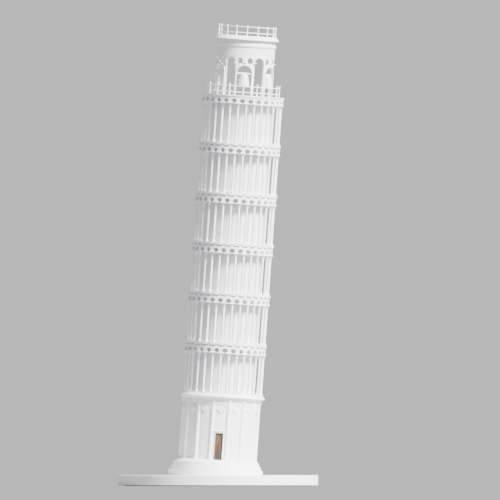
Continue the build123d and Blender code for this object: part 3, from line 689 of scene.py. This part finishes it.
class TOWER_OT_cornices(Operator):
    """Turn the moulded ground cornice and the belfry's string course and top slab"""
    bl_idname = "tower.cornices"
    bl_label = "Cornices"

    def execute(self, context):
        low, _, _, outer = measure("ground_cornice")
        top, _, _, feet = measure("gallery_1_columns")
        under = measure("ground_half_columns")[3] - 0.0002
        rim = feet + CORNICE_LEDGE
        rise = top - low
        outline = [(ROD_HOLE, low), (under, low), (under + 0.0004, low + 0.10 * rise),
                   (under + 0.0004, low + 0.17 * rise), (outer - 0.0004, low + 0.37 * rise),
                   (outer, low + 0.45 * rise), (outer - 0.0003, low + 0.52 * rise),
                   (rim + 0.0003, low + 0.80 * rise), (rim, low + 0.90 * rise), (rim, top), (ROD_HOLE, top)]
        self.turn("ground_cornice_turned", outline, "ground_cornice")
        low, high, inner, outer = measure("belfry_band")
        wall = measure("belfry_drum")[3]
        rise = high - low
        outline = [(inner, low), (wall + 0.0001, low), (wall + 0.0004, low + 0.06 * rise),
                   (outer - 0.0001, low + 0.12 * rise), (outer, low + 0.20 * rise),
                   (outer, low + 0.40 * rise),
                   (outer - 0.0002, low + 0.46 * rise), (wall, low + 0.51 * rise), (wall, high),
                   (inner, high)]
        self.turn("belfry_band_turned", outline, "belfry_band")
        low, high, inner, outer = measure("belfry_cap")
        rise = high - low
        top = measure("top_railing")[3] + CAP_LEDGE
        outline = [(inner, low), (outer - 0.0009, low), (outer - 0.0001, low + 0.08 * rise),
                   (outer, low + 0.15 * rise), (outer - 0.0002, low + 0.24 * rise),
                   (top + 0.0003, low + 0.86 * rise), (top, low + 0.93 * rise), (top - 0.0001, high),
                   (inner, high)]
        self.turn("belfry_cap_turned", outline, "belfry_cap")
        return {"FINISHED"}

    @staticmethod
    def turn(name, outline, node):
        """Turns a closed outline about the tower's axis and puts it in a node's place."""
        mesh = lathe(name, soften(outline, 0.0002, 2), 180, closed=True)
        mesh.transform(TOWER)
        put(name, mesh, "tower", "white_cornice", node)


class TOWER_OT_railings(Operator):
    """Make the two railings of turned posts and straight rails"""
    bl_idname = "tower.railings"
    bl_label = "Railings"

    def execute(self, context):
        settings = context.scene.tower_railings
        for node in ("terrace_railing", "top_railing"):
            low, high, _, outer = measure(node)
            ring, post, ball = outer - settings.ball, settings.post, settings.ball
            neck = high - 2 * ball
            ball_arc = [(ball * sin(t), high - ball - ball * cos(t)) for t in (0.9, 1.3, 1.7, 2.1, 2.6)]
            outline = [(0, low), (post * 1.35, low), (post * 1.35, low + 0.0004), (post, low + 0.0006),
                       (post, neck - 0.0003), (post * 1.12, neck - 0.0001), (post * 0.85, neck + 0.0002),
                       *ball_arc, (0, high)]
            turned = lathe("post", outline, 10)
            turned.transform(Matrix.Translation((0, -ring, 0)))
            mesh = grown(node + "_turned", turned, railing_tree(), {
                "Count": settings.posts, "First Angle": 0.0, "Radius": ring, "Rail Radius": settings.rail,
                "Lower Rail": low + settings.lower, "Upper Rail": low + settings.upper,
                "Material": finish("white_rail")})
            put(node + "_turned", mesh, "tower", "white_rail", node)
        return {"FINISHED"}


class TOWER_OT_door(Operator):
    """Make the wooden door leaf from bevelled upright planks"""
    bl_idname = "tower.door"
    bl_label = "Door leaf"

    def execute(self, context):
        settings = context.scene.tower_door
        back = TOWER.inverted()
        points = [back @ vertex.co for vertex in frame["nodes"]["door_leaf"].data.vertices]
        low = Vector([min(point[axis] for point in points) for axis in range(3)])
        high = Vector([max(point[axis] for point in points) for axis in range(3)])
        size, middle = high - low, (high + low) / 2
        width = size.x / settings.planks
        shape = bmesh.new()
        for number in range(settings.planks):
            place = Vector((low.x + width * (number + 0.5), middle.y, middle.z))
            add_block(shape, (width - settings.gap, size.y, size.z), place, PLANK_BEVEL)
        mesh = finished_mesh("door_leaf_planks", shape)
        mesh.transform(TOWER)
        put("door_leaf_planks", mesh, "tower", "brown_wood", "door_leaf")
        return {"FINISHED"}


class TOWER_OT_bells(Operator):
    """Turn each bell with its raised bands, and hang it from its bevelled headstock"""
    bl_idname = "tower.bells"
    bl_label = "Bells"

    def execute(self, context):
        for name in BELLS:
            swing = next(joint for joint in frame["joints"] if joint["child"] == name)
            pin = Vector(swing["axis"]).normalized()
            up = (Vector((0, 0, 1)) - pin * pin.z).normalized()
            hang = Matrix.Translation(swing["pos_m"]) @ Matrix((pin, up.cross(pin), up)).transposed().to_4x4()
            back = hang.inverted()
            points = [back @ vertex.co for vertex in frame["nodes"][name].data.vertices]
            foot = min(point.z for point in points)
            mouth = max(abs(point.x) for point in points if point.z < foot * 0.97)
            beam = max(abs(point.x) for point in points if point.z > foot * 0.05)
            top = max(point.z for point in points)
            wall = mouth * 0.16
            outside = [(share * mouth, drop * foot) for share, drop in BELL_DOME]
            inside = [(mouth - wall, foot), (mouth - wall * 1.1, foot * 0.90), (mouth * 0.78, foot * 0.62),
                      (mouth * 0.62, foot * 0.36), (mouth * 0.35, foot * 0.22), (0, foot * 0.20)]
            body = lathe("bell", [(0, top)] + soften(outside, 0.0002, 2) + soften(inside, 0.0003, 2), 48)
            shape = bmesh.new()
            shape.from_mesh(body)
            add_block(shape, (2 * beam, 2 * top, 2 * top), Vector((0, 0, 0)), HEADSTOCK_BEVEL)
            mesh = finished_mesh(name + "_turned", shape)
            mesh.transform(hang)
            put(name + "_turned", mesh, name, "white_bell", name)
        return {"FINISHED"}


class TOWER_OT_studio(Operator):
    """Set up the plain floor, the soft studio light and the camera"""
    bl_idname = "tower.studio"
    bl_label = "Studio"

    def execute(self, context):
        settings = context.scene.tower_stage
        shape = bmesh.new()
        bmesh.ops.create_circle(shape, cap_ends=True, segments=128, radius=FLOOR_RADIUS)
        floor = bpy.data.objects.new("studio_floor", finished_mesh("studio_floor", shape))
        context.scene.collection.objects.link(floor)
        material, tree, shader, vector = new_material("studio_floor")
        worn = [channel * 0.96 for channel in settings.floor_colour]
        cloud = spread_value(tree, noise(tree, vector, 3.0, 3.0), 0.35, 0.65)
        tone = blend_colour(tree, cloud, (*worn, 1), (*settings.floor_colour, 1))
        tree.links.new(tone, shader.inputs["Base Color"])
        shader.inputs["Roughness"].default_value = 0.8
        floor.data.materials.append(material)

        light = bpy.data.lights.new("key", "SUN")
        light.energy = settings.key
        light.angle = settings.key_softness
        key = bpy.data.objects.new("key", light)
        context.scene.collection.objects.link(key)
        turn, rise = settings.key_turn, settings.key_rise
        towards = Vector((sin(turn) * cos(rise), -cos(turn) * cos(rise), sin(rise)))
        key.rotation_euler = towards.to_track_quat("Z", "Y").to_euler()

        world = bpy.data.worlds.new("studio")
        world.use_nodes = True
        context.scene.world = world
        tree = world.node_tree
        seen = tree.nodes.new("ShaderNodeLightPath")
        shown = tree.nodes["Background"]
        fill = tree.nodes.new("ShaderNodeBackground")
        mix = tree.nodes.new("ShaderNodeMixShader")
        shown.inputs["Color"].default_value = (1.0, 1.0, 1.0, 1)
        shown.inputs["Strength"].default_value = settings.backdrop
        fill.inputs["Color"].default_value = (0.98, 0.98, 1.0, 1)
        fill.inputs["Strength"].default_value = settings.fill
        wire(tree, (seen.outputs["Is Camera Ray"], mix.inputs[0]), (fill.outputs[0], mix.inputs[1]),
             (shown.outputs[0], mix.inputs[2]),
             (mix.outputs[0], tree.nodes["World Output"].inputs["Surface"]))

        view = bpy.data.cameras.new("camera")
        view.type = "ORTHO"
        view.ortho_scale = settings.view_width
        camera = bpy.data.objects.new("camera", view)
        context.scene.collection.objects.link(camera)
        camera.location = CAMERA_PLACE
        camera.rotation_euler = (radians(90), 0, 0)
        context.scene.camera = camera
        return {"FINISHED"}


# ---- panel and registration ----
STEPS = (TOWER_OT_castings, TOWER_OT_gallery_columns, TOWER_OT_half_columns, TOWER_OT_cornices,
         TOWER_OT_railings, TOWER_OT_door, TOWER_OT_bells, TOWER_OT_studio)
GROUPS = {"tower_resin": ResinSettings, "tower_columns": ColumnSettings, "tower_railings": RailingSettings,
          "tower_door": DoorSettings, "tower_stage": StageSettings}


class TOWER_PT_pieces(Panel):
    """The tower's settings and pieces"""
    bl_label = "Leaning tower"
    bl_idname = "TOWER_PT_pieces"
    bl_space_type = "VIEW_3D"
    bl_region_type = "UI"
    bl_category = "Tower"

    def draw(self, context):
        for name in GROUPS:
            box = self.layout.box()
            for value in GROUPS[name].__annotations__:
                box.prop(getattr(context.scene, name), value)
        for step in STEPS:
            self.layout.operator(step.bl_idname)


def register():
    for group in GROUPS.values():
        bpy.utils.register_class(group)
    for name, group in GROUPS.items():
        setattr(bpy.types.Scene, name, PointerProperty(type=group))
    for step in STEPS:
        bpy.utils.register_class(step)
    bpy.utils.register_class(TOWER_PT_pieces)


def unregister():
    bpy.utils.unregister_class(TOWER_PT_pieces)
    for step in reversed(STEPS):
        bpy.utils.unregister_class(step)
    for name in reversed(GROUPS):
        delattr(bpy.types.Scene, name)
        bpy.utils.unregister_class(GROUPS[name])


def main():
    register()
    for step in STEPS:
        family, name = step.bl_idname.split(".")
        getattr(getattr(bpy.ops, family), name)()


if __name__ == "__main__":
    main()
